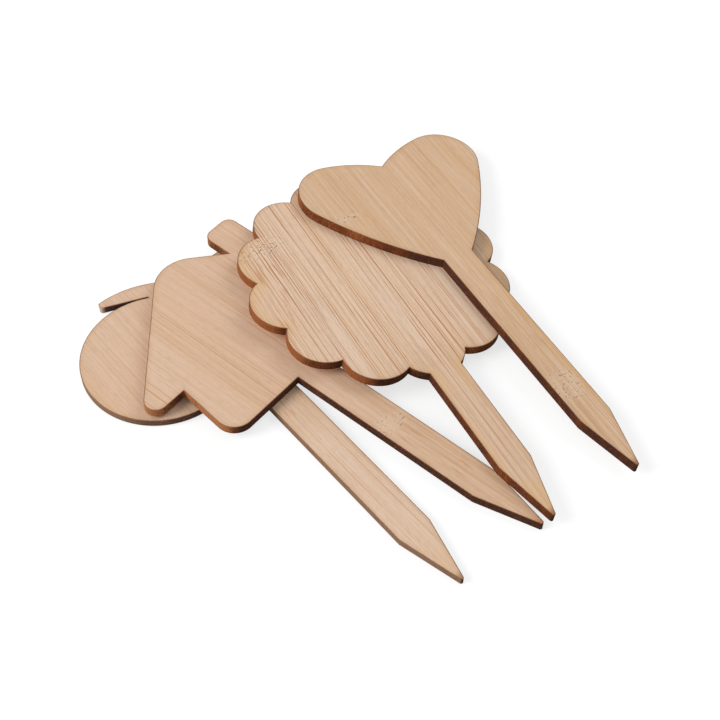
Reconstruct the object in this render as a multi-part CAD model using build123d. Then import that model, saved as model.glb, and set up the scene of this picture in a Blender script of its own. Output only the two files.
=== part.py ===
from build123d import *
import os
from math import acos, asin, atan2, cos, hypot, pi, radians, sin, sqrt, tan

# Sizes shared by the four stakes, in millimetres and degrees
stake_length = 131.0
stick_width = 10.0
tip_length = 18.2
tip_radius = 0.6

# Sheet that each stake is cut from
heart_thickness = 3.0
scallop_thickness = 2.8
house_thickness = 2.8
fruit_thickness = 2.2

# Heart head
heart_width = 60.0
heart_height = 48.0
heart_cleft_depth = 6.8
heart_lobe_radius = 11.5
heart_crown_radius = 41.0
heart_flank_radius = 117.0

# Scalloped head, a little longer than it is wide
scallop_width = 77.0
scallop_height = 80.0
lobe_count = 12
lobe_radius = 10.1

# House head, whose walls spread a little towards their foot
house_height = 54.4
wall_foot_width = 60.9
wall_top_width = 56.2
wall_height = 20.2
wall_radius = 5.7
roof_slope = 40.4
ridge_radius = 11.2
eave_radius = 3.4
chimney_width = 10.7
chimney_offset = 21.25
chimney_radius = 2.9

# Fruit head: two round halves, and a leaf that a slit parts from the left one
fruit_width = 80.0
fruit_half_radius = 22.0
fruit_drop = 4.5
leaf_reach = 21.5
leaf_lift = 3.0
leaf_end_width = 2.0
leaf_bulge = 3.4
leaf_foot = 4.0
slit_reach = 8.5
slit_width = 0.3

# How the pile lies: the place of each tip on the table and the way its stick points
fruit_tip = (25.1, -70.1)
fruit_angle = 129.2
house_tip = (45.8, -54.5)
house_angle = 140.8
scallop_tip = (48.2, -53.8)
scallop_angle = 119.2
heart_tip = (70.9, -38.6)
heart_angle = 121.4

# Point of the house stake, across and along, that its weight and the stakes on it press down
house_load = (10.0, 60.0)

# Space left between a stake and what it lies on
seat_gap = 0.15
table_gap = 0.02

half_stick = stick_width / 2
# Spacing of the points that are tried for contact
contact_step = stick_width / 10
from_base = (Align.CENTER, Align.MIN)


def stick(top):
    # the slanted sides run from the shoulders and touch the round of the tip
    to_round = hypot(half_stick, tip_length - tip_radius)
    slant = atan2(half_stick, tip_length - tip_radius) - asin(tip_radius / to_round)
    point = (0, tip_radius - tip_radius / sin(slant))
    right = [(half_stick, tip_length), (half_stick, top)]
    left = [(-half_stick, top), (-half_stick, tip_length)]
    shape = Polygon(point, *right, *left, align=None)
    return fillet(shape.vertices().sort_by(Axis.Y)[0], tip_radius)


def touch_point(middle, small, large, through, side):
    # where a small circle touches a large one that holds it and passes through a point
    apart = hypot(middle[0] - through[0], middle[1] - through[1])
    shift = large - small
    swing = acos((apart ** 2 + shift ** 2 - large ** 2) / (2 * shift * apart))
    angle = atan2(middle[1] - through[1], middle[0] - through[0]) + side * swing
    return (middle[0] + small * cos(angle), middle[1] + small * sin(angle))


def heart_face():
    lobe = (heart_width / 2 - heart_lobe_radius, stake_length - heart_lobe_radius)
    neck_height = stake_length - heart_height
    neck = (half_stick, neck_height)
    cleft = (0, stake_length - heart_cleft_depth)
    flank_end = touch_point(lobe, heart_lobe_radius, heart_flank_radius, neck, -1)
    crown_end = touch_point(lobe, heart_lobe_radius, heart_crown_radius, cleft, 1)
    right_half = make_face([
        Line((0, neck_height), neck),
        RadiusArc(neck, flank_end, -heart_flank_radius),
        ThreePointArc(flank_end, (lobe[0], stake_length), crown_end),
        RadiusArc(crown_end, cleft, -heart_crown_radius),
        Line(cleft, (0, neck_height)),
    ])
    return right_half + mirror(right_half, Plane.YZ) + stick(neck_height + half_stick)


def scallop_face():
    # the lobes stand on an oval ring, the first one where the stick joins
    middle = stake_length - scallop_height / 2
    ring_across = scallop_width / 2 - lobe_radius
    ring_along = scallop_height / 2 - lobe_radius
    shape = stick(middle) + Pos(0, middle) * Ellipse(ring_across, ring_along)
    for i in range(lobe_count):
        turn = 2 * pi * i / lobe_count - pi / 2
        shape += Pos(ring_across * cos(turn), middle + ring_along * sin(turn)) * Circle(lobe_radius)
    return shape


def house_face():
    base = stake_length - house_height
    eave_height = base + wall_height
    slope = radians(roof_slope)
    peak = stake_length + ridge_radius / cos(slope) - ridge_radius
    eave = (peak - eave_height) / tan(slope)
    roof = Polygon((-eave, eave_height), (eave, eave_height), (0, peak), align=None)
    roof = fillet(roof.vertices().group_by(Axis.Y)[-1], ridge_radius)
    roof = fillet(roof.vertices().group_by(Axis.Y)[0], eave_radius)
    under_eave = wall_top_width / 2
    above_eave = eave_height + eave_radius
    wall_right = [(wall_foot_width / 2, base), (under_eave, eave_height), (under_eave, above_eave)]
    wall_left = [(-across, height) for across, height in reversed(wall_right)]
    wall = Polygon(*wall_right, *wall_left, align=None)
    wall = fillet(wall.vertices().group_by(Axis.Y)[0], wall_radius)
    chimney = Rectangle(chimney_width, stake_length - above_eave, align=from_base)
    chimney = Pos(chimney_offset, above_eave) * chimney
    chimney = fillet(chimney.vertices().group_by(Axis.Y)[-1], chimney_radius)
    return roof + wall + chimney + stick(eave_height)


def fruit_face():
    out = fruit_width / 2 - fruit_half_radius
    top = stake_length - fruit_drop
    middle = top - fruit_half_radius

    def upper_edge(across):
        return middle + sqrt(fruit_half_radius ** 2 - (out - across) ** 2)

    slit_end = Vector(-slit_reach, upper_edge(slit_reach) + slit_width)
    leaf_low = Vector(-leaf_reach, top + leaf_lift)
    along = (leaf_low - slit_end).normalized()
    leaf_high = leaf_low + Vector(along.Y, -along.X) * leaf_end_width
    foot = Vector(leaf_foot, upper_edge(leaf_foot))
    within = [(leaf_foot, middle), (-slit_reach, middle)]
    crest = SagittaArc(leaf_high, foot, leaf_bulge)
    shape = stick(middle) + make_face([crest, Polyline(foot, *within, slit_end, leaf_low, leaf_high)])
    for side in (-out, out):
        shape += Pos(side, middle) * Circle(fruit_half_radius)
    return shape


def edge_points(shape):
    points = []
    for edge in shape.edges():
        count = max(2, round(edge.length / contact_step))
        points += [edge @ (i / count) for i in range(count + 1)]
    return points


def level_at(point, corners):
    # height over a point of the plane through three corners
    normal = (corners[1] - corners[0]).cross(corners[2] - corners[0])
    away = point - corners[0]
    return corners[0].Z - (normal.X * away.X + normal.Y * away.Y) / normal.Z


def room_inside(corners, point):
    # above zero where the point is within the triangle of corners, seen from above
    turns = []
    for start, end in zip(corners, corners[1:] + corners[:1]):
        side = end - start
        away = point - start
        turns.append(side.X * away.Y - side.Y * away.X)
    return min(turns) if sum(turns) > 0 else -max(turns)


def resting_corners(supports, weight):
    # the three supports that a sheet settles on: the one that stands out most is swapped in each time
    far = 10 * stake_length
    thirds = [i * 2 * pi / 3 for i in range(3)]
    corners = [weight + Vector(far * cos(third), far * sin(third), -far) for third in thirds]
    while True:
        highest = max(supports, key=lambda point: point.Z - level_at(point, corners))
        if highest.Z - level_at(highest, corners) < seat_gap / 1000:
            return corners
        trials = [corners[:i] + [highest] + corners[i + 1:] for i in range(3)]
        corners = max(trials, key=lambda trial: room_inside(trial, weight))


def lay(face, thickness, tip, angle, load, below):
    # rests a stake on the table and on the stakes below it, and lists it with them
    flat = Pos(*tip) * Rot(0, 0, angle - 90)
    plan = flat * face
    table = table_gap if below else 0
    supports = [Vector(point.X, point.Y, table) for point in edge_points(plan)]
    for under_plan, under_top in below:
        for point in edge_points(plan & under_plan):
            supports.append(Vector(point.X, point.Y, level_at(point, under_top) + seat_gap))
    corners = resting_corners(supports, (flat * Pos(*load)).position)
    tip_place = Vector(*tip)
    tip_place.Z = level_at(tip_place, corners)
    ahead = tip_place + Vector(cos(radians(angle)), sin(radians(angle)))
    ahead.Z = level_at(ahead, corners)
    aside = tip_place + Vector(sin(radians(angle)), -cos(radians(angle)))
    aside.Z = level_at(aside, corners)
    along = ahead - tip_place
    upright = (aside - tip_place).cross(along).normalized()
    below.append((plan, [corner + upright * thickness for corner in corners]))
    return Plane(tip_place, x_dir=along.cross(upright), z_dir=upright) * extrude(face, thickness)


heart = heart_face()
scallop = scallop_face()
house = house_face()
fruit = fruit_face()

pile = []
stakes = {
    "fruit_stake": lay(fruit, fruit_thickness, fruit_tip, fruit_angle, fruit.center(), pile),
    "house_stake": lay(house, house_thickness, house_tip, house_angle, house_load, pile),
    "scalloped_stake": lay(scallop, scallop_thickness, scallop_tip, scallop_angle, scallop.center(), pile),
    "heart_stake": lay(heart, heart_thickness, heart_tip, heart_angle, heart.center(), pile),
}

# the origin is on the table, under the middle of the pile
middle = Compound(list(stakes.values())).bounding_box().center()
os.makedirs("parts", exist_ok=True)
for name, stake in stakes.items():
    export_step(Pos(-middle.X, -middle.Y) * stake, f"parts/{name}.step")
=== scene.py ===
import bpy
import numpy as np
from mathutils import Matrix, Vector
from mathutils.geometry import delaunay_2d_cdt


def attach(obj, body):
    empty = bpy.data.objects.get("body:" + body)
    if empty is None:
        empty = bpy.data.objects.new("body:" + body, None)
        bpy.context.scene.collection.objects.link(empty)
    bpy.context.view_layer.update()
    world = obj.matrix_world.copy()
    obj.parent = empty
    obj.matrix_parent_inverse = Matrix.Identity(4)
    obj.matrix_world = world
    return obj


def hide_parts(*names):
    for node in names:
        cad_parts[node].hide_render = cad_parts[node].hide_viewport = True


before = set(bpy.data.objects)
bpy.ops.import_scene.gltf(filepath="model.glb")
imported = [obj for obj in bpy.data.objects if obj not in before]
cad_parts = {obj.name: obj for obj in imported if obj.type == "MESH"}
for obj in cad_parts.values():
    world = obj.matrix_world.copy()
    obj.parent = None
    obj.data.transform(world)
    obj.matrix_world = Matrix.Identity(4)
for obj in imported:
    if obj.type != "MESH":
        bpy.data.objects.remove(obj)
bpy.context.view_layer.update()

print("frame loaded:", sorted(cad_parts))

# each stake is drawn in its own frame, in millimetres: x across, y from tip to head, z through the sheet
stick = dict(length=131.0, width=10.0, tipLength=18.2, tipRadius=0.6)
spacing = dict(arc=0.5, line=0.9, arcLeast=7)  # between the points of an outline
halfStick = stick["width"] / 2


def arc(centre, radius, start, end):  # centre plus radius times cosine and sine of an even run of angles
    count = max(spacing["arcLeast"], int(abs(end - start) * radius / spacing["arc"]))
    angle = np.linspace(start, end, count)
    return np.stack([centre[0] + radius * np.cos(angle), centre[1] + radius * np.sin(angle)], 1)


def line(start, end):  # start plus even shares of the way to the end
    start, end = np.array(start, float), np.array(end, float)
    count = max(2, int(np.linalg.norm(end - start) / spacing["line"]))
    return start + (end - start) * np.linspace(0, 1, count)[:, None]


def angleOf(point, centre):  # arctangent of the rise over the run from the centre to a point
    return np.arctan2(point[1] - centre[1], point[0] - centre[0])


def joined(*runs):  # one closed path, without points that fall on the one before
    path = np.concatenate(runs)
    keep = np.linalg.norm(path - np.roll(path, 1, 0), axis=1) > 1e-3
    return path[keep]


def mirrored(run):  # the same run backwards, x turned into minus x
    return run[::-1] * [-1, 1]


def roundedPath(corners):
    # corners are x, y and radius; a round's centre is radius over sine of the half angle from its corner
    points = np.array(corners, float)
    runs = []
    for before, here, after in zip(points[:-2], points[1:-1], points[2:]):
        radius = here[2]
        back = before[:2] - here[:2]
        ahead = after[:2] - here[:2]
        back, ahead = back / np.linalg.norm(back), ahead / np.linalg.norm(ahead)
        if radius == 0:
            runs.append(here[None, :2])
            continue
        half = np.arccos(np.clip(back @ ahead, -1, 1)) / 2
        middle = (back + ahead) / np.linalg.norm(back + ahead)
        centre = here[:2] + middle * radius / np.sin(half)
        reach = radius / np.tan(half)
        first = angleOf(here[:2] + back * reach, centre)
        turn = (angleOf(here[:2] + ahead * reach, centre) - first + np.pi) % (2 * np.pi) - np.pi
        runs.append(arc(centre, radius, first, first + turn))
    ends = [points[0, :2]] + [run[-1] for run in runs]
    starts = [run[0] for run in runs] + [points[-1, :2]]
    between = [line(a, b) for a, b in zip(ends, starts)]
    return np.concatenate([between[0]] + [part for pair in zip(runs, between[1:]) for part in pair])


def rightSide(neck):  # half of the tip's round, the slanted side that touches it, the stick up to the neck
    radius, reach = stick["tipRadius"], stick["tipLength"] - stick["tipRadius"]
    slant = np.arctan2(halfStick, reach) - np.arcsin(radius / np.hypot(halfStick, reach))
    shoulder = (halfStick, stick["tipLength"])
    tipRound = arc((0, radius), radius, -np.pi / 2, -slant)
    return np.concatenate([tipRound, line(tipRound[-1], shoulder), line(shoulder, (halfStick, neck))])


def awayFrom(points, path):  # distance from the nearest side of the closed path, in batches of sides
    side = np.roll(path, -1, 0) - path
    size = (side ** 2).sum(1)
    best = np.full(len(points), np.inf)
    for some in np.array_split(np.arange(len(path)), 12):
        gap = points[:, None] - path[some]
        share = np.clip((gap * side[some]).sum(2) / size[some], 0, 1)
        near = gap - share[..., None] * side[some]
        best = np.minimum(best, np.sqrt((near ** 2).sum(2).min(1)))
    return best


def within(points, path):  # an odd number of sides is crossed on the way to the right
    after = np.roll(path, -1, 0)
    above = (path[:, 1] > points[:, None, 1]) != (after[:, 1] > points[:, None, 1])
    rise = np.where(after[:, 1] == path[:, 1], 1e-12, after[:, 1] - path[:, 1])
    cross = path[:, 0] + (points[:, None, 1] - path[:, 1]) / rise * (after[:, 0] - path[:, 0])
    return (above & (points[:, None, 0] < cross)).sum(1) % 2 == 1


def smoothStep(low, high, value):  # three times the squared share less twice its cube
    share = np.clip((value - low) / (high - low), 0, 1)
    return share * share * (3 - 2 * share)


def waves(run, pitches, phases):  # mean of the sines of the run, one for each pitch
    sines = [np.sin(2 * np.pi * run / pitch + phase) for pitch, phase in zip(pitches, phases)]
    return sum(sines) / len(sines)


def bellSum(path, spots):
    # each spot adds its share times e to the minus squared distance over squared radius
    total = np.zeros(len(path))
    for place, radius, share in spots:
        total += share * np.exp(-((path - place) ** 2).sum(1) / radius ** 2)
    return total


def inwardOf(path):
    # mean normal of the two sides at a point, over the cosine of half the turn, so an inset keeps its width
    side = np.roll(path, -1, 0) - path
    side /= np.linalg.norm(side, axis=1)[:, None]
    normal = np.stack([-side[:, 1], side[:, 0]], 1)
    both = normal + np.roll(normal, 1, 0)
    both /= np.maximum(np.linalg.norm(both, axis=1), 1e-6)[:, None]
    return both / np.clip((both * normal).sum(1), 0.45, 1)[:, None]


def restingFrame(node, thickness):
    # tip, across, along and upward direction of a stake, read from the flat top of its solid:
    # up is the mean normal weighed by area, along is the longest side of the top's rim
    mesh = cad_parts[node].data
    mesh.calc_loop_triangles()
    place = np.zeros(len(mesh.vertices) * 3)
    mesh.vertices.foreach_get("co", place)
    place = place.reshape(-1, 3)
    corner = np.zeros(len(mesh.loop_triangles) * 3, int)
    mesh.loop_triangles.foreach_get("vertices", corner)
    tri = place[corner.reshape(-1, 3)]
    normal = np.cross(tri[:, 1] - tri[:, 0], tri[:, 2] - tri[:, 0])
    area = np.linalg.norm(normal, axis=1)
    normal /= np.maximum(area, 1e-15)[:, None]
    flat = normal[:, 2] > 0.9
    up = (normal[flat] * area[flat, None]).sum(0)
    up /= np.linalg.norm(up)
    top = np.round(tri[flat], 6)
    sides = np.concatenate([top[:, [0, 1]], top[:, [1, 2]], top[:, [2, 0]]])
    distinct, index = np.unique(sides.reshape(-1, 3), axis=0, return_inverse=True)
    pairs = np.sort(index.reshape(-1, 2), 1)
    rim, count = np.unique(pairs, axis=0, return_counts=True)
    rim = rim[count == 1]
    way = distinct[rim[:, 1]] - distinct[rim[:, 0]]
    size = np.linalg.norm(way, axis=1)
    longest = np.argsort(-size)[:2]  # the two straight sides of the stick
    along = way[longest[0]] / size[longest[0]]
    centre = distinct.mean(0)
    axisPoint = distinct[rim[longest]].reshape(-1, 3).mean(0)
    if (axisPoint - centre) @ along > 0:
        along = -along
    tip = axisPoint + along * ((distinct - axisPoint) @ along).min()
    return tip - up * thickness / 1000, np.cross(along, up), along, up


# millimetres, and degrees for the angle from which an edge is drawn sharp
cutEdge = dict(
    roundOver=0.14, roundSteps=4, wallRows=7, sharpAngle=38,
    ripple=0.03, ripplePitches=(1.1, 1.87, 3.19, 5.83, 12.1),
)
# painted shade: the first range darkens walls that face away from the key light; the others set the charring
# on the stick, its slow patches and the most it reaches
scorchAndShade = dict(shadedSide=(-0.6, 1.0), neckFade=(-3, 8), patch=0.22, patchPitches=(7.0, 13.0, 29.0), most=0.9)
faceNet = dict(rings=(0.4, 0.75, 1.2, 1.9), sparseFrom=1.0, ringKeep=0.96, grid=1.5, gridMargin=0.6)


def edgeProfile(thickness):
    # inset and height: a rim by one less sine and cosine of a quarter turn, the wall, and the rim below
    turn = np.linspace(0, np.pi / 2, cutEdge["roundSteps"])
    over = cutEdge["roundOver"]
    rim = np.stack([over * (1 - np.sin(turn)), thickness - over * (1 - np.cos(turn))], 1)
    wall = np.linspace(thickness - over, over, cutEdge["wallRows"])[1:-1]
    wall = np.stack([0 * wall, wall], 1)
    under = rim[::-1] * [1, -1] + [0, thickness]
    return np.concatenate([rim, wall, under])


def charAndShadeAlong(path, inward, run, phase, stake):
    # painted shade: smoothed cosine of the angle between the wall and the way that the most shaded walls
    # face, away from the key light, plus soot on the stick, slow patches and spots
    shadedWay = np.radians(stake["shadedFacing"])
    shadedSide = -(inward @ [np.cos(shadedWay), np.sin(shadedWay)]) / np.linalg.norm(inward, axis=1)
    low, high = scorchAndShade["neckFade"]
    onStick = 1 - smoothStep(stake["neck"] + low, stake["neck"] + high, path[:, 1])
    char = smoothStep(*scorchAndShade["shadedSide"], shadedSide) + stake["stickSoot"] * onStick
    char += scorchAndShade["patch"] * waves(run, scorchAndShade["patchPitches"], phase)
    # spots that darken the wall at given places, or lighten it where their share is below nought
    char += bellSum(path, stake["wallToneSpots"])
    return np.clip(char, 0, scorchAndShade["most"])


def facePoints(path, inward):  # the outline set in by each ring's depth, then a staggered grid
    cloud = []
    for depth in faceNet["rings"]:
        points = path + inward * depth
        points = points[::2 if depth > faceNet["sparseFrom"] else 1]
        clear = awayFrom(points, path) > depth * faceNet["ringKeep"]
        cloud.append(points[clear & within(points, path)])
    low, high = path.min(0), path.max(0)
    step = faceNet["grid"]
    gx, gy = np.meshgrid(np.arange(low[0], high[0], step), np.arange(low[1], high[1], step))
    gx = gx + step / 2 * (np.arange(len(gx)) % 2)[:, None]
    grid = np.stack([gx.ravel(), gy.ravel()], 1)
    grid = grid[within(grid, path)]
    cloud.append(grid[awayFrom(grid, path) > faceNet["rings"][-1] + faceNet["gridMargin"]])
    return np.concatenate(cloud)


def faceTriangles(rim, inner):  # triangles that fill the closed rim and use every point inside it
    here = np.arange(len(rim))
    loop = np.stack([here, np.roll(here, -1)], 1)
    made = delaunay_2d_cdt(np.concatenate([rim, inner]).tolist(), loop.tolist(), [], 1, 1e-7)
    source = np.array([old[0] for old in made[3]])
    return source[np.array(made[2])]


def cutStake(name, node, body, path, stake, finish):
    # wall: outline plus inward direction times the profile's inset, at its heights; two faces close it
    thickness = stake["thickness"]
    profile = edgeProfile(thickness)
    rows, count = len(profile), len(path)
    onWall = rows * count
    inward = inwardOf(path)
    step = np.linalg.norm(np.roll(path, -1, 0) - path, axis=1)
    run = np.concatenate([[0], np.cumsum(step)[:-1]])
    phase = np.random.default_rng(stake["rippleSeed"]).uniform(0, 2 * np.pi, 5)
    # shallow ripple that the cut leaves, always inwards, fading towards both faces
    ripple = cutEdge["ripple"] * (1 + waves(run, cutEdge["ripplePitches"], phase)) / 2
    fade = np.sin(np.pi * np.clip(profile[:, 1] / thickness, 0, 1)) ** 0.5
    inset = profile[:, :1] + ripple * fade[:, None]
    flat = path + inward * inset[..., None]
    height = np.broadcast_to(profile[:, 1][:, None, None], (rows, count, 1))
    wallPoints = np.concatenate([flat, height], 2).reshape(-1, 3)
    here = np.arange(count)
    after = (here + 1) % count
    row = np.arange(rows - 1)[:, None] * count
    quads = np.stack([row + here, row + count + here, row + count + after, row + after], 2).reshape(-1, 4)

    inner = facePoints(path, inward)
    triangles = faceTriangles(flat[0], inner)
    extra = len(inner)
    topIndex = np.concatenate([here, onWall + np.arange(extra)])
    underIndex = np.concatenate([onWall - count + here, onWall + extra + np.arange(extra)])
    topPoints = np.column_stack([inner, np.full(extra, thickness)])
    underPoints = np.column_stack([inner, np.zeros(extra)])
    points = np.concatenate([wallPoints, topPoints, underPoints])
    faces = quads.tolist() + topIndex[triangles].tolist() + underIndex[triangles[:, ::-1]].tolist()

    # what the finish reads at each point: run, height and depth of the cut, charring with painted shade, and
    # bare wood on the wall
    cut = np.zeros((len(points), 3))
    cut[:onWall, 0] = np.tile(run, rows)
    cut[:, 1] = points[:, 2]
    cut[:onWall, 2] = np.repeat(profile[:, 0], count)
    cut[onWall:, 2] = np.tile(awayFrom(inner, path), 2)
    burnAndShade = np.zeros((len(points), 3))
    burnAndShade[:onWall, 0] = np.tile(charAndShadeAlong(path, inward, run, phase, stake), rows)
    burnAndShade[:onWall, 1] = np.tile(bellSum(path, stake["bareEnds"]), rows)

    tip, across, along, up = restingFrame(node, thickness)
    placed = tip + (points[:, :1] * across + points[:, 1:2] * along + points[:, 2:] * up) / 1000
    mesh = bpy.data.meshes.new(name)
    mesh.from_pydata(placed.tolist(), [], faces)
    mesh.polygons.foreach_set("use_smooth", np.ones(len(mesh.polygons), bool))
    mesh.set_sharp_from_angle(angle=np.radians(cutEdge["sharpAngle"]))
    for label, values in (("grain", points), ("cut", cut), ("burnAndShade", burnAndShade)):
        layer = mesh.attributes.new(label, "FLOAT_VECTOR", "POINT")
        layer.data.foreach_set("vector", values.astype(np.float32).ravel())
    mesh.validate()
    piece = bpy.data.objects.new(name, mesh)
    bpy.context.scene.collection.objects.link(piece)
    mesh.materials.append(finish)
    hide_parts(node)
    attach(piece, body)
    print("cut", name, len(mesh.vertices), "points", len(mesh.polygons), "faces")


class Nodes:  # shorthand for wiring: a socket is linked, any other value is set
    def __init__(self, owner):
        owner.use_nodes = True
        self.tree = owner.node_tree

    def put(self, socket, value):
        if isinstance(value, bpy.types.NodeSocket):
            self.tree.links.new(value, socket)
        else:
            socket.default_value = value

    def add(self, kind, sockets, out=0, **settings):
        node = self.tree.nodes.new(kind)
        for key, value in settings.items():
            setattr(node, key, value)
        for key, value in sockets.items():
            self.put(node.inputs[key], value)
        return node.outputs[out]

    def attribute(self, label):  # the three parts of what a point carries, and the whole
        whole = self.add("ShaderNodeAttribute", {}, "Vector", attribute_name=label)
        node = self.tree.nodes.new("ShaderNodeSeparateXYZ")
        self.put(node.inputs[0], whole)
        return *node.outputs, whole

    def math(self, kind, a, b=0.0, c=0.0):
        return self.add("ShaderNodeMath", {0: a, 1: b, 2: c}, operation=kind)

    def times(self, a, b):
        return self.math("MULTIPLY", a, b)

    def centred(self, noise, spread):  # noise times the spread, less half of the spread
        return self.math("MULTIPLY_ADD", noise, spread, -spread / 2)

    def combine(self, x, y, z):
        return self.add("ShaderNodeCombineXYZ", {"X": x, "Y": y, "Z": z})

    def stretch(self, vector, scale, shift=(0, 0, 0)):
        return self.add("ShaderNodeMapping", {"Vector": vector, "Location": shift, "Scale": scale})

    def noise(self, vector, detail, rough=0.5, distort=0.0):
        sockets = {"Vector": vector, "Scale": 1.0, "Detail": detail, "Roughness": rough}
        return self.add("ShaderNodeTexNoise", {**sockets, "Distortion": distort})

    def between(self, value, low, high, toLow=0.0, toHigh=1.0):  # smooth step from one level to another
        sockets = {"Value": value, "From Min": low, "From Max": high, "To Min": toLow, "To Max": toHigh}
        return self.add("ShaderNodeMapRange", sockets, interpolation_type="SMOOTHSTEP")

    def mix(self, share, a, b):
        node = self.tree.nodes.new("ShaderNodeMix")
        node.data_type = "RGBA"
        self.put(node.inputs[0], share)
        for socket, value in ((node.inputs[6], a), (node.inputs[7], b)):
            self.put(socket, (*value, 1) if isinstance(value, tuple) else value)
        return node.outputs[2]


# lines per millimetre across and lengthwise, detail, roughness, and a shift that tells the kinds apart
grainLines = dict(
    bands=(0.16, 0.006, 2, 0.5, 1.3), coarse=(0.75, 0.008, 2, 0.5, 2.7), fibre=(2.2, 0.03, 3, 0.6, 3.3),
    fine=(4.6, 0.35, 2, 0.6, 4.1), pale=(2.6, 0.03, 2, 0.5, 5.9), stretches=(0.9, 0.04, 2, 0.5, 7.7),
    streaks=(2.5, 0.006, 2, 0.5, 9.1), dashes=(2.6, 0.11, 0, 0.5, 11.9),
)
# level of the noise where a mark begins to show, and where it is full
shownFrom = dict(
    bands=(0.32, 0.68), coarse=(0.40, 0.70), fibre=(0.44, 0.66), fine=(0.45, 0.72), pale=(0.55, 0.66),
    stretches=(0.36, 0.62), dashes=(0.63, 0.68), specks=(0.585, 0.64), stain=(0.38, 0.64),
    toCharAndShade=(-0.05, 0.55), toSootAndShade=(0.45, 1.05), toBare=(0.25, 0.7),
)
# pieces of noise per millimetre
noiseScale = dict(
    wander=(0.04, 0.012, 0.04), specks=(1.0, 1.7, 1.0), stain=(0.10, 0.10, 0.10), ragged=(2.2, 2.2, 2.2),
    beam=(3.2, 0.5), mottle=(1.5, 1.3),
)
surface = dict(
    faceRough=(0.50, 0.62), wallRough=0.82, specular=0.05, bump=0.5, bumpHeight=0.00012,
    fineRelief=0.35, pitRelief=0.5, streakRelief=0.3, beamRelief=1.2,
)
# shared by all four unless a stake's own look says otherwise; reaches and fades are in millimetres
bamboo = dict(
    light=(0.735, 0.530, 0.375), warm=(0.715, 0.495, 0.325), dark=(0.500, 0.300, 0.170),
    bright=(0.800, 0.620, 0.470), brown=(0.470, 0.205, 0.070), honey=(0.720, 0.450, 0.220),
    # smoke colours the stains beside the cut and also a painted shade
    smokeAndShade=(0.540, 0.300, 0.140), scorch=(0.180, 0.085, 0.045), toast=(0.300, 0.100, 0.034),
    # char and soot are the darker wall colours, for charring and for painted shade
    char=(0.150, 0.043, 0.015), sootAndShade=(0.058, 0.024, 0.016), stickColour=(0.500, 0.300, 0.140),
    wander=1.2, coarse=0.15, fibre=0.28, fine=0.34, pale=0.20,
    stickFade=(52, 66), stickShade=0.08, stickGrain=2.0,
    streak=0.30, stickStreak=0.30, streakFade=(45, 62), streakFrom=0.55, streakEdge=0.04, streakLeast=0.45,
    joint=0.22, speck=0.65, dash=0.5, spotEdge=(1.1, 0.3), spotWander=6.0,
    tint=0.45, tintReach=(5.0, 0.4), shadeSpots=[], shadeShare=0.4, shadeReach=(10.0, 0.4),
    stain=(0.12, 0.4), stainReach=(2.0, 0.0), tipBurn=0.85, tipReach=(3.2, 0.2),
    rimBurn=0.9, rimReach=(0.26, -0.05), ragged=0.28, mottle=1.6, beam=0.3, wallReach=(0.09, 0.03),
)


class Bamboo(Nodes):  # wiring for one stake, with the places that it carries at hand
    def __init__(self, owner, look):
        super().__init__(owner)
        self.seed = look["seed"]
        self.u, self.v, through, self.place = self.attribute("grain")
        self.run, self.height, self.depth = self.attribute("cut")[:3]
        self.char, self.bare = self.attribute("burnAndShade")[:2]
        # fibres wander a little from straight, and so do the ends of toned places
        wander = self.noise(self.stretch(self.place, noiseScale["wander"], (self.seed, 0, 0)), 1)
        across = self.math("ADD", self.u, self.centred(wander, look["wander"]))
        self.bent = self.combine(across, self.v, through)
        self.wavy = self.math("ADD", self.v, self.centred(wander, look["spotWander"]))
        self.spotEdge = look["spotEdge"]
        self.drawn = {}

    def lines(self, kind):  # noise drawn out along the bent fibres, wired once for each kind
        if kind not in self.drawn:
            across, lengthwise, detail, rough, shift = grainLines[kind]
            shifts = (self.seed * shift, self.seed + shift, shift)
            place = self.stretch(self.bent, (across, lengthwise, across), shifts)
            self.drawn[kind] = self.noise(place, detail, rough)
        return self.drawn[kind]

    def marks(self, kind, most, least=0):
        return self.between(self.lines(kind), *shownFrom[kind], least, most)

    def spots(self, places):  # one inside each oval, nought outside, by its squared distance over half sizes
        share = 0.0
        for across, lengthwise, reach, length in places:
            du = self.math("DIVIDE", self.math("SUBTRACT", self.u, across), reach)
            dv = self.math("DIVIDE", self.math("SUBTRACT", self.wavy, lengthwise), length)
            off = self.math("ADD", self.times(du, du), self.times(dv, dv))
            share = self.math("MAXIMUM", self.between(off, *self.spotEdge), share)
        return share

    def onWall(self, kind):  # run and height of the cut as a place for noise
        lengthwise, upward = noiseScale[kind]
        return self.combine(self.times(self.run, lengthwise), self.times(self.height, upward), self.seed)


def grainColour(n, look):  # broad tone, fibres from coarse to fine, then long thin streaks that come and go
    colour = n.mix(n.marks("bands", 1), look["light"], look["warm"])
    colour = n.mix(n.between(n.v, *look["stickFade"], look["stickShade"], 0), colour, look["stickColour"])
    stickShare = n.between(n.v, *look["stickFade"], look["stickGrain"], 1)
    for kind in ("coarse", "fibre"):
        colour = n.mix(n.times(n.marks(kind, look[kind]), stickShare), colour, look["dark"])
    colour = n.mix(n.marks("fine", look["fine"]), colour, look["dark"])
    colour = n.mix(n.marks("pale", look["pale"]), colour, look["bright"])
    thin = n.between(n.lines("streaks"), look["streakFrom"], look["streakFrom"] + look["streakEdge"])
    streak = n.times(thin, n.marks("stretches", 1, look["streakLeast"]))
    streak = n.times(streak, n.between(n.v, *look["streakFade"], look["stickStreak"], look["streak"]))
    return n.mix(streak, colour, look["brown"]), streak


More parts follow.
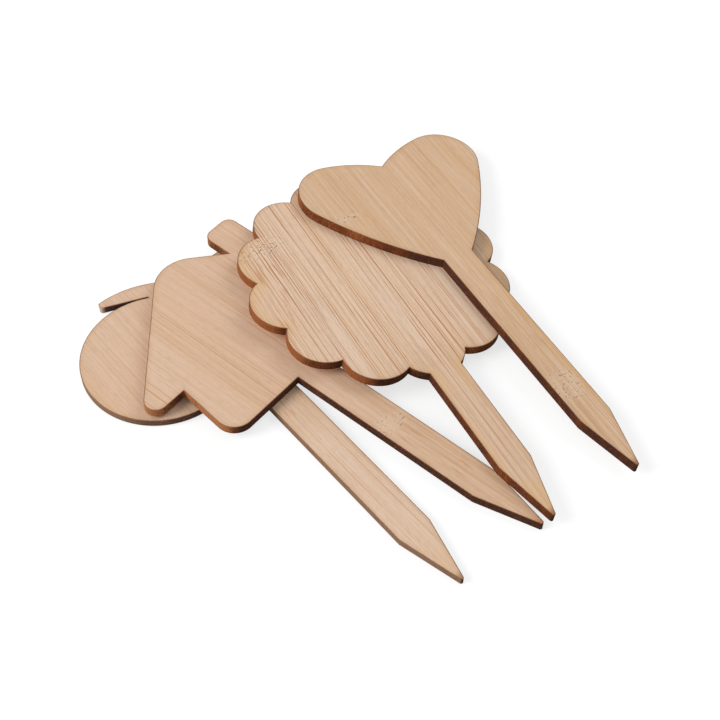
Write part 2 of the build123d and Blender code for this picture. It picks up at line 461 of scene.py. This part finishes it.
def jointColour(n, look, colour):
    # cane joints are paler and specked; dashes of cut fibre lie beyond, toned places and painted shade
    # beside the cut
    joint = n.spots(look["joints"])
    grit = n.noise(n.stretch(n.place, noiseScale["specks"], (n.seed * 3, n.seed, 0)), 3, 0.6, 0.8)
    speck = n.times(n.between(grit, *shownFrom["specks"], 0, look["speck"]), joint)
    dash = n.times(n.marks("dashes", look["dash"]), n.spots(look["dashes"]))
    colour = n.mix(n.times(joint, look["joint"]), colour, look["bright"])
    tinted = n.times(n.spots(look["tinted"]), n.between(n.depth, *look["tintReach"]))
    colour = n.mix(n.times(tinted, look["tint"]), colour, look["honey"])
    # painted shade: a darker, redder patch where a piece above casts its shade
    shadeSpots = n.times(n.spots(look["shadeSpots"]), n.between(n.depth, *look["shadeReach"]))
    colour = n.mix(n.times(shadeSpots, look["shadeShare"]), colour, look["smokeAndShade"])
    colour = n.mix(dash, colour, look["brown"])
    colour = n.mix(speck, colour, look["scorch"])
    return colour, n.math("MAXIMUM", dash, speck)


def rimColour(n, look, colour):  # blotchy smoke beside the cut, a burnt tip, a ragged dark line at the rim
    blotch = n.noise(n.stretch(n.place, noiseScale["stain"], (n.seed, n.seed, 0)), 2)
    stain = n.between(blotch, *shownFrom["stain"], *look["stain"])
    colour = n.mix(n.times(n.between(n.depth, *look["stainReach"]), stain), colour, look["smokeAndShade"])
    colour = n.mix(n.between(n.v, *look["tipReach"], 0, look["tipBurn"]), colour, look["toast"])
    ragged = n.noise(n.stretch(n.place, noiseScale["ragged"]), 3)
    depth = n.math("MULTIPLY_ADD", ragged, -look["ragged"], n.depth)
    return n.mix(n.between(depth, *look["rimReach"], 0, look["rimBurn"]), colour, look["scorch"])


def wallColour(n, look, beam):  # toast, char and soot by the wall's charring and painted shade, mottled and streaked
    mottle = n.noise(n.onWall("mottle"), 3, 0.75)
    char = n.math("ADD", n.char, n.centred(mottle, look["mottle"]))
    char = n.math("ADD", char, n.centred(beam, look["beam"]))
    # painted shade: the char and soot colours also darken walls that face away from the key light
    wall = n.mix(n.between(char, *shownFrom["toCharAndShade"]), look["toast"], look["char"])
    wall = n.mix(n.between(char, *shownFrom["toSootAndShade"]), wall, look["sootAndShade"])
    return n.mix(n.between(n.bare, *shownFrom["toBare"]), wall, look["light"])


def bambooFinish(name, look):  # layers of colour on the faces, burnt wall with painted shade over them, and a fine relief
    material = bpy.data.materials.new(name)
    n = Bamboo(material, look)
    colour, streak = grainColour(n, look)
    colour, pits = jointColour(n, look, colour)
    colour = rimColour(n, look, colour)
    beam = n.noise(n.onWall("beam"), 2, 0.6)
    isWall = n.between(n.depth, *look["wallReach"])
    shader = n.tree.nodes["Principled BSDF"].inputs
    n.put(shader["Base Color"], n.mix(isWall, colour, wallColour(n, look, beam)))
    faceRough = n.between(n.lines("fibre"), 0.3, 0.7, *surface["faceRough"])
    n.put(shader["Roughness"], n.math("MAXIMUM", faceRough, n.times(isWall, surface["wallRough"])))
    n.put(shader["Specular IOR Level"], surface["specular"])
    relief = n.times(n.lines("fine"), surface["fineRelief"])
    relief = n.math("SUBTRACT", relief, n.times(pits, surface["pitRelief"]))
    relief = n.math("SUBTRACT", relief, n.times(streak, surface["streakRelief"]))
    relief = n.math("ADD", relief, n.times(n.times(isWall, beam), surface["beamRelief"]))
    bump = {"Strength": surface["bump"], "Distance": surface["bumpHeight"], "Height": relief}
    n.put(shader["Normal"], n.add("ShaderNodeBump", bump))
    return material


# spots on the wall are place, radius and share; places on the faces are middle and half sizes
# each stake's shading angle, in degrees in its own frame, is the way that the walls with the most painted
# shade face
fruit = dict(
    thickness=2.2, width=80.0, halfRadius=22.0, drop=4.5, leafReach=21.5, leafLift=3.0, leafEndWidth=2.0,
    leafBulge=3.4, leafRound=0.9, leafFoot=4.0, slitReach=8.5, slitWidth=0.3, neck=88.0,
    rippleSeed=1, shadedFacing=-45, stickSoot=0.0, wallToneSpots=[((-15, 127), 6, 0.6)],
    bareEnds=[((-21.3, 130.0), 1.5, 1.0)],
    look=dict(
        bamboo, seed=3.1, light=(0.705, 0.513, 0.382), warm=(0.690, 0.485, 0.340),
        toast=(0.300, 0.170, 0.105), char=(0.200, 0.105, 0.068), sootAndShade=(0.090, 0.045, 0.034),
        coarse=0.12, fibre=0.24, pale=0.15, streak=0.20,
        stickColour=(0.800, 0.620, 0.490), stickShade=0.45, stickGrain=0.9,
        joints=[], dashes=[(0, 69, 5.5, 4)], tint=0.2, tinted=[(0, 0, 6, 14), (-38, 104, 6, 10)],
    ),
)


def fruitOutline(s):  # two rounds, and a leaf whose crest is an arc of given height over its chord
    out = s["width"] / 2 - s["halfRadius"]
    top = stick["length"] - s["drop"]
    middle = top - s["halfRadius"]

    def upperEdge(across):
        return middle + np.sqrt(s["halfRadius"] ** 2 - (out - across) ** 2)

    neck = middle - np.sqrt(s["halfRadius"] ** 2 - (out - halfStick) ** 2)
    foot = np.array([s["leafFoot"], upperEdge(s["leafFoot"])])
    slitEnd = np.array([-s["slitReach"], upperEdge(s["slitReach"]) + s["slitWidth"]])
    slitFloor = np.array([-s["slitReach"], upperEdge(s["slitReach"])])
    leafLow = np.array([-s["leafReach"], top + s["leafLift"]])
    along = (leafLow - slitEnd) / np.linalg.norm(leafLow - slitEnd)
    leafHigh = leafLow + np.array([along[1], -along[0]]) * s["leafEndWidth"]
    chord = leafHigh - foot
    reach = np.linalg.norm(chord)
    crestRadius = (reach ** 2 / 4 + s["leafBulge"] ** 2) / (2 * s["leafBulge"])
    outward = np.array([chord[1], -chord[0]]) / reach
    crestMiddle = (foot + leafHigh) / 2 + outward * (s["leafBulge"] - crestRadius)
    right, left = np.array([out, middle]), np.array([-out, middle])
    return joined(
        rightSide(neck),
        arc(right, s["halfRadius"], angleOf((halfStick, neck), right), angleOf(foot, right)),
        arc(crestMiddle, crestRadius, angleOf(foot, crestMiddle), angleOf(leafHigh, crestMiddle)),
        roundedPath([(*leafHigh, 0), (*leafLow, s["leafRound"]), (*slitEnd, 0)]),
        slitFloor[None],
        arc(left, s["halfRadius"], angleOf(slitFloor, left), 2 * np.pi + angleOf((-halfStick, neck), left)),
        mirrored(rightSide(neck)),
    )


fruitFinish = bambooFinish("fruitBamboo", fruit["look"])
cutStake("fruitStake", "fruit_stake", "fruit", fruitOutline(fruit), fruit, fruitFinish)

house = dict(
    thickness=2.8, height=54.4, wallFootWidth=60.9, wallTopWidth=56.2, wallHeight=20.2, wallRadius=5.7,
    roofSlope=40.4, ridgeRadius=11.2, eaveRadius=3.4, chimneyWidth=10.7, chimneyOffset=21.25,
    chimneyRadius=2.9, neck=76.0, rippleSeed=2, shadedFacing=-45, stickSoot=0.95,
    wallToneSpots=[((-40, 98), 7, -0.8), ((-29, 80), 9, -0.3), ((16, 126), 7, 0.35)], bareEnds=[],
    look=dict(
        bamboo, seed=7.9, light=(0.718, 0.513, 0.377), warm=(0.698, 0.479, 0.328),
        toast=(0.450, 0.180, 0.075), char=(0.170, 0.058, 0.024),
        streak=0.50, stickStreak=0.70, streakFrom=0.59, fibre=0.20, dash=0.45, speck=0.55,
        joints=[(-1, 48, 7, 3.2)], dashes=[(0, 34, 6, 13)], tinted=[],
    ),
)


def houseOutline(s):  # straight sides with rounded corners; the roof falls by the tangent of its slope
    base = stick["length"] - s["height"]
    eaveHeight = base + s["wallHeight"]
    slope = np.radians(s["roofSlope"])
    peak = stick["length"] + s["ridgeRadius"] / np.cos(slope) - s["ridgeRadius"]
    eave = (peak - eaveHeight) / np.tan(slope)
    foot, wall = s["wallFootWidth"] / 2, s["wallTopWidth"] / 2
    near, far = s["chimneyOffset"] - s["chimneyWidth"] / 2, s["chimneyOffset"] + s["chimneyWidth"] / 2
    head = roundedPath([
        (halfStick, base, 0), (foot, base, s["wallRadius"]), (wall, eaveHeight, 0),
        (eave, eaveHeight, s["eaveRadius"]), (far, peak - far * np.tan(slope), 0),
        (far, stick["length"], s["chimneyRadius"]), (near, stick["length"], s["chimneyRadius"]),
        (near, peak - near * np.tan(slope), 0), (0, peak, s["ridgeRadius"]),
        (-eave, eaveHeight, s["eaveRadius"]), (-wall, eaveHeight, 0),
        (-foot, base, s["wallRadius"]), (-halfStick, base, 0),
    ])
    return joined(rightSide(base), head, mirrored(rightSide(base)))


houseFinish = bambooFinish("houseBamboo", house["look"])
cutStake("houseStake", "house_stake", "house", houseOutline(house), house, houseFinish)

scalloped = dict(
    thickness=2.8, width=77.0, height=80.0, lobes=12, lobeRadius=10.1, neck=52.0,
    rippleSeed=3, shadedFacing=-45, stickSoot=0.6,
    wallToneSpots=[((0, 54), 12, 0.3), ((14, 57), 7, -1.0), ((28, 68), 10, -0.45)], bareEnds=[],
    look=dict(
        bamboo, seed=12.4, light=(0.785, 0.590, 0.450), warm=(0.775, 0.560, 0.395),
        streak=0.95, stickStreak=0.45, stickShade=0.16, coarse=0.06, fibre=0.24, dash=0.5, speck=0.9,
        joints=[(-26, 112, 10, 4.5)], dashes=[(-26, 102, 9, 6), (-27, 86, 10, 11)],
        tinted=[(-33, 100, 14, 24), (-5, 26, 2.5, 18), (40, 75, 9, 18), (0, 50, 7, 9), (0, 2, 6, 13)],
        # painted shade of the heart on the right lobes
        shadeSpots=[(41, 80, 10, 18)],
    ),
)


def scallopOutline(s):
    # equal rounds on an oval ring; each meets the next off the middle of their centres by
    # the root of the squared radius less a quarter of the squared distance
    radius = s["lobeRadius"]
    turn = 2 * np.pi * np.arange(s["lobes"]) / s["lobes"] - np.pi / 2
    middle = stick["length"] - s["height"] / 2
    ringAcross, ringAlong = s["width"] / 2 - radius, s["height"] / 2 - radius
    centres = np.stack([ringAcross * np.cos(turn), middle + ringAlong * np.sin(turn)], 1)
    apart = np.roll(centres, -1, 0) - centres
    gap = np.linalg.norm(apart, axis=1)[:, None]
    outward = np.stack([apart[:, 1], -apart[:, 0]], 1) / gap
    meets = centres + apart / 2 + outward * np.sqrt(radius ** 2 - gap ** 2 / 4)
    runs = []
    for k in range(s["lobes"] // 2 + 1):  # from the stick, up the right side, to the top
        first, last = angleOf(meets[k - 1], centres[k]), angleOf(meets[k], centres[k])
        if k == 0:
            first = -np.arccos(halfStick / radius)
        if k == s["lobes"] // 2:
            last = np.pi / 2
        while last < first:
            last += 2 * np.pi
        runs.append(arc(centres[k], radius, first, last))
    half = np.concatenate([rightSide(runs[0][0][1])] + runs)
    return joined(half, mirrored(half))


scallopedFinish = bambooFinish("scallopedBamboo", scalloped["look"])
scallopPath = scallopOutline(scalloped)
cutStake("scallopedStake", "scalloped_stake", "scalloped", scallopPath, scalloped, scallopedFinish)

heart = dict(
    thickness=3.0, width=60.0, height=48.0, cleftDepth=6.8, lobeRadius=11.5, crownRadius=41.0,
    flankRadius=117.0, neck=83.0, rippleSeed=4, shadedFacing=-58, stickSoot=0.8,
    wallToneSpots=[((-30, 118), 7, 0.3), ((-6, 84), 16, 0.35)], bareEnds=[],
    look=dict(
        bamboo, seed=18.6, light=(0.715, 0.505, 0.340), warm=(0.705, 0.470, 0.290),
        coarse=0.20, fibre=0.34, pale=0.35, streak=0.15, dash=0.28, tint=0.6,
        joints=[(-1.0, 31.5, 6, 6.0), (-22, 109.7, 6, 1.4)], dashes=[(0, 55, 7, 28)],
        tinted=[(6, 45, 3.5, 42)],
    ),
)


def touchPoint(lobe, radius, large, through, side):
    # where the lobe touches a large circle that holds it and passes a point: the two centres and the point
    # make a triangle of known sides, and the law of cosines gives the direction
    apart = np.hypot(lobe[0] - through[0], lobe[1] - through[1])
    shift = large - radius
    swing = np.arccos((apart ** 2 + shift ** 2 - large ** 2) / (2 * shift * apart))
    angle = angleOf(lobe, through) + side * swing
    return np.array([lobe[0] + radius * np.cos(angle), lobe[1] + radius * np.sin(angle)])


def heartOutline(s):  # flank from the neck, lobe, crown into the cleft: three arcs that touch, mirrored
    lobe = np.array([s["width"] / 2 - s["lobeRadius"], stick["length"] - s["lobeRadius"]])
    neck = np.array([halfStick, stick["length"] - s["height"]])
    cleft = np.array([0, stick["length"] - s["cleftDepth"]])
    flankEnd = touchPoint(lobe, s["lobeRadius"], s["flankRadius"], neck, -1)
    crownEnd = touchPoint(lobe, s["lobeRadius"], s["crownRadius"], cleft, 1)
    flankMiddle = flankEnd + (lobe - flankEnd) * s["flankRadius"] / s["lobeRadius"]
    crownMiddle = crownEnd + (lobe - crownEnd) * s["crownRadius"] / s["lobeRadius"]
    half = np.concatenate([
        rightSide(neck[1]),
        arc(flankMiddle, s["flankRadius"], angleOf(neck, flankMiddle), angleOf(flankEnd, flankMiddle)),
        arc(lobe, s["lobeRadius"], angleOf(flankEnd, lobe), angleOf(crownEnd, lobe)),
        arc(crownMiddle, s["crownRadius"], angleOf(crownEnd, crownMiddle), angleOf(cleft, crownMiddle)),
    ])
    return joined(half, mirrored(half))


heartFinish = bambooFinish("heartBamboo", heart["look"])
cutStake("heartStake", "heart_stake", "heart", heartOutline(heart), heart, heartFinish)

# metres and watts; floor is its grey and lift the white that the eye sees besides
studio = dict(
    floor=0.36, lift=0.71, floorReach=1.5, floorDrop=2e-4, floorFade=(0.35, 1.3), ambient=0.44,
    key=29.0, keySize=1.2, keyPlace=(-1.5, -0.4, 1.15), top=4.8, topSize=0.9, topPlace=(0.85, 0.5, 1.1),
)


def softLight(name, place, size, power):  # a round lamp that looks at the origin
    lamp = bpy.data.lights.new(name, "AREA")
    lamp.shape = "DISK"
    lamp.size = size
    lamp.energy = power
    light = bpy.data.objects.new(name, lamp)
    light.location = place
    light.rotation_euler = (-Vector(place)).to_track_quat("-Z", "Y").to_euler()
    bpy.context.scene.collection.objects.link(light)


softLight("keyLight", studio["keyPlace"], studio["keySize"], studio["key"])
softLight("topLight", studio["topPlace"], studio["topSize"], studio["top"])


def seenShare(n):  # one for what the eye sees, also in gloss or through glass, nought for other light
    ray = n.tree.nodes.new("ShaderNodeLightPath").outputs
    bounced = n.math("MAXIMUM", ray["Is Glossy Ray"], ray["Is Transmission Ray"])
    return n.math("MAXIMUM", ray["Is Camera Ray"], bounced)


world = bpy.data.worlds.new("studioAir")
bpy.context.scene.world = world
sky = Nodes(world)
air = sky.tree.nodes["Background"].inputs
sky.put(air["Color"], (1, 1, 1, 1))
strength = sky.between(seenShare(sky), 0, 1, studio["ambient"], 1)  # white to the eye, dimmer as a light
sky.put(air["Strength"], strength)

reach, drop = studio["floorReach"], -studio["floorDrop"]
corners = [(-reach, -reach, drop), (reach, -reach, drop), (reach, reach, drop), (-reach, reach, drop)]
floorMesh = bpy.data.meshes.new("floor")
floorMesh.from_pydata(corners, [], [(0, 1, 2, 3)])
floor = bpy.data.objects.new("floor", floorMesh)
bpy.context.scene.collection.objects.link(floor)
floorFinish = bpy.data.materials.new("paleFloor")
paper = Nodes(floorFinish)
sheet = paper.tree.nodes["Principled BSDF"].inputs
place = paper.add("ShaderNodeTexCoord", {}, "Object")
away = paper.add("ShaderNodeVectorMath", {0: place}, "Value", operation="LENGTH")
rim = paper.between(away, *studio["floorFade"])  # towards its rim the floor turns into plain white
glow = paper.math("MULTIPLY_ADD", rim, 1 - studio["lift"], studio["lift"])
paper.put(sheet["Base Color"], paper.mix(rim, (studio["floor"],) * 3, (0.0, 0.0, 0.0)))
paper.put(sheet["Roughness"], 0.9)
paper.put(sheet["Specular IOR Level"], 0.0)
paper.put(sheet["Emission Color"], (1, 1, 1, 1))
paper.put(sheet["Emission Strength"], paper.times(seenShare(paper), glow))
floorMesh.materials.append(floorFinish)
print("studio set")

view = dict(target=(0.002653, -0.007173, 0.0), elevation=51.37, distance=0.39177, lens=71.03, sensor=36)
rise = np.radians(view["elevation"])
camera = bpy.data.objects.new("camera", bpy.data.cameras.new("camera"))
camera.data.lens = view["lens"]
camera.data.sensor_width = view["sensor"]
camera.data.clip_start = 0.01
camera.location = Vector(view["target"]) + view["distance"] * Vector((0, -np.cos(rise), np.sin(rise)))
camera.rotation_euler = (np.pi / 2 - rise, 0, 0)
bpy.context.scene.collection.objects.link(camera)
bpy.context.scene.camera = camera
bpy.context.scene.view_settings.view_transform = "Standard"
print("camera set")
